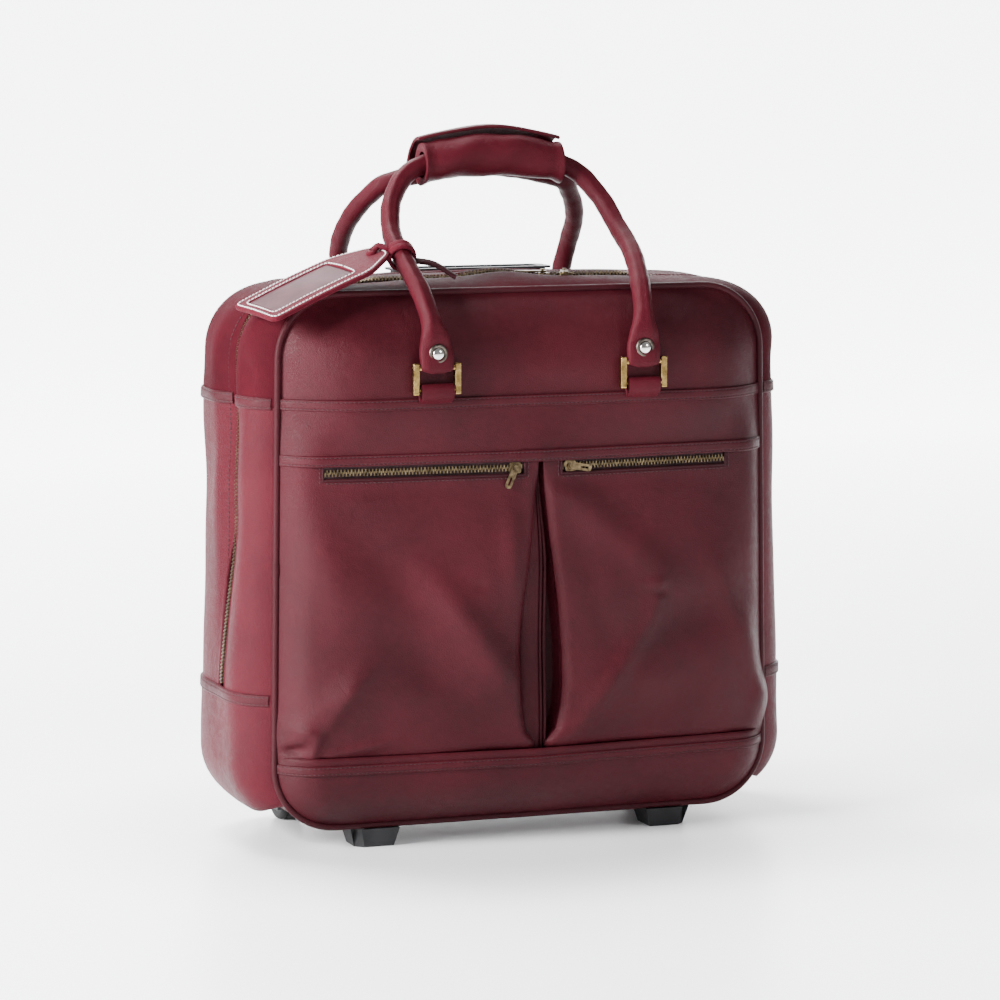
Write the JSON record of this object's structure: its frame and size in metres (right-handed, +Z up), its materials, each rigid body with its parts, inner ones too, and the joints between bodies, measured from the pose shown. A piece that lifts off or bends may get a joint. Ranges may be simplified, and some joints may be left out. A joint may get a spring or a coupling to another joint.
{
  "type": "pilot rolling flight case",
  "caption": "Upright soft leather cabin case with front zip pockets, twin ring-mounted carry handles, luggage tag, stowed telescopic trolley, rear wheels and front feet.",
  "frame": {"origin": "on the floor under the middle of the whole case, tag and handles included", "axes": "+X to the right seen from the front, +Y to the back, +Z up"},
  "size_m": [0.4542, 0.2201, 0.5475],
  "materials": {
    "leather": "semi-aniline burgundy, soft sheen",
    "piping": "rolled leather cord",
    "handle_leather": "rolled leather",
    "zip_tape": "woven",
    "antique_brass": "antique",
    "ring_brass": "brushed",
    "snap_metal": "polished",
    "clear_window": "clear PVC",
    "lining_fabric": "woven twill",
    "black_plastic": "moulded",
    "bush_plastic": "acetal",
    "tyre": "polyurethane",
    "steel": "zinc plated",
    "tube_aluminium": "anodised"
  },
  "bodies": {
    "case": {"top_gusset_front": "leather", "top_gusset_rear": "leather", "side_gussets": "leather", "base_boot": "leather", "front_upper_panel": "leather", "front_band": "leather", "front_lower_band": "leather", "pocket_back_panel": "leather", "rear_panel": "leather", "left_pocket": "leather", "right_pocket": "leather", "pleat_gusset": "leather", "piping": "piping", "ring_tabs": "handle_leather", "body_zip_tapes": "zip_tape", "pocket_zip_tapes": "zip_tape", "body_zip_teeth": "antique_brass", "pocket_zip_teeth": "antique_brass", "lining": "lining_fabric", "base_board": "black_plastic", "feet": "black_plastic", "wheel_housings": "black_plastic", "trolley_tray": "black_plastic", "trolley_foot_bracket": "black_plastic", "foot_screws": "steel", "wheel_axles": "steel", "axle_caps": "steel", "trolley_outer_tubes": "tube_aluminium"},
    "wheel_left": {"tyre_left": "tyre", "wheel_hub_left": "black_plastic", "wheel_bush_left": "bush_plastic"},
    "wheel_right": {"tyre_right": "tyre", "wheel_hub_right": "black_plastic", "wheel_bush_right": "bush_plastic"},
    "trolley_mid": {"trolley_mid_tubes": "tube_aluminium"},
    "trolley_inner": {"trolley_inner_tubes": "tube_aluminium", "trolley_grip": "black_plastic", "button_spring": "steel"},
    "trolley_button": {"trolley_button": "black_plastic"},
    "front_rings": {"front_handle_rings": "ring_brass"},
    "front_handle": {"front_handle": "handle_leather", "front_handle_snaps": "snap_metal", "grip_wrap": "handle_leather", "tag_strap_tail": "handle_leather"},
    "grip_flap": {"grip_flap": "handle_leather"},
    "rear_rings": {"rear_handle_rings": "ring_brass"},
    "rear_handle": {"rear_handle": "handle_leather", "rear_handle_snaps": "snap_metal"},
    "luggage_tag": {"tag_front": "handle_leather", "tag_back": "handle_leather", "tag_window": "clear_window", "tag_strap": "handle_leather"},
    "left_pocket_slider": {"left_pocket_slider": "antique_brass"},
    "left_pocket_pull": {"left_pocket_pull": "antique_brass"},
    "right_pocket_slider": {"right_pocket_slider": "antique_brass"},
    "right_pocket_pull": {"right_pocket_pull": "antique_brass"},
    "main_slider_left": {"main_slider_left": "antique_brass"},
    "main_pull_left": {"main_pull_left": "antique_brass"},
    "main_slider_right": {"main_slider_right": "antique_brass"},
    "main_pull_right": {"main_pull_right": "antique_brass"}
  },
  "joints": [
    {"name": "wheel_left_spin", "type": "hinge", "parent": "case", "child": "wheel_left", "pos_m": [-0.152, 0.064, 0.025], "axis": [1, 0, 0], "continuous": true},
    {"name": "wheel_right_spin", "type": "hinge", "parent": "case", "child": "wheel_right", "pos_m": [0.152, 0.064, 0.025], "axis": [1, 0, 0], "continuous": true},
    {"name": "trolley_mid_slide", "type": "slide", "parent": "case", "child": "trolley_mid", "axis": [0, 0, 1], "range_m": [0, 0.3]},
    {"name": "trolley_inner_slide", "type": "slide", "parent": "trolley_mid", "child": "trolley_inner", "axis": [0, 0, 1], "range_m": [0, 0.3]},
    {"name": "trolley_button_press", "type": "slide", "parent": "trolley_inner", "child": "trolley_button", "axis": [0, 0, -1], "range_m": [0, 0.004], "stiffness_N_per_m": 500, "springref_m": -0.002, "deforming": ["button_spring"]},
    {"name": "front_ring_hinge", "type": "hinge", "parent": "case", "child": "front_rings", "pos_m": [0, -0.104, 0.354], "axis": [1, 0, 0], "range_deg": [0, 70]},
    {"name": "front_handle_hinge", "type": "hinge", "parent": "front_rings", "child": "front_handle", "pos_m": [0, -0.104, 0.37], "axis": [1, 0, 0], "range_deg": [0, 35]},
    {"name": "grip_flap_hinge", "type": "hinge", "parent": "front_handle", "child": "grip_flap", "pos_m": [0, 0.0095, 0.5435], "axis": [1, 0, 0], "range_deg": [0, 110]},
    {"name": "rear_ring_hinge", "type": "hinge", "parent": "case", "child": "rear_rings", "pos_m": [0, 0.0985, 0.354], "axis": [-1, 0, 0], "range_deg": [0, 70]},
    {"name": "rear_handle_hinge", "type": "hinge", "parent": "rear_rings", "child": "rear_handle", "pos_m": [0, 0.0985, 0.37], "axis": [-1, 0, 0], "range_deg": [0, 35]},
    {"name": "luggage_tag_hinge", "type": "hinge", "parent": "front_handle", "child": "luggage_tag", "pos_m": [-0.09378, -0.05128, 0.45196], "axis": [-0.0394, 0.8554, 0.5165], "range_deg": [0, 60]},
    {"name": "left_pocket_zip", "type": "slide", "parent": "case", "child": "left_pocket_slider", "axis": [-0.9969, 0.0785, 0], "range_m": [0, 0.14]},
    {"name": "left_pocket_pull_hinge", "type": "hinge", "parent": "left_pocket_slider", "child": "left_pocket_pull", "pos_m": [-0.01962, -0.10173, 0.29215], "axis": [0.0778, 0.9886, -0.129], "range_deg": [-55, 55]},
    {"name": "right_pocket_zip", "type": "slide", "parent": "case", "child": "right_pocket_slider", "axis": [0.9969, 0.0785, 0], "range_m": [0, 0.124]},
    {"name": "right_pocket_pull_hinge", "type": "hinge", "parent": "right_pocket_slider", "child": "right_pocket_pull", "pos_m": [0.0256, -0.10126, 0.29215], "axis": [-0.0778, 0.9886, -0.129], "range_deg": [-6, 100]},
    {"name": "main_zip_left", "type": "slide", "parent": "case", "child": "main_slider_left", "axis": [-1, 0, 0], "range_m": [0, 0.12]},
    {"name": "main_pull_left_hinge", "type": "hinge", "parent": "main_slider_left", "child": "main_pull_left", "pos_m": [0.036, -0.011, 0.43445], "axis": [0, 0, -1], "range_deg": [-60, 30]},
    {"name": "main_zip_right", "type": "slide", "parent": "case", "child": "main_slider_right", "axis": [1, 0, 0], "range_m": [0, 0.045]},
    {"name": "main_pull_right_hinge", "type": "hinge", "parent": "main_slider_right", "child": "main_pull_right", "pos_m": [0.054, -0.011, 0.43445], "axis": [0, 0, -1], "range_deg": [-80, 0]}
  ],
  "couplings": [
    {"joint": "trolley_inner_slide", "follows": "trolley_mid_slide", "ratio": 1}
  ]
}
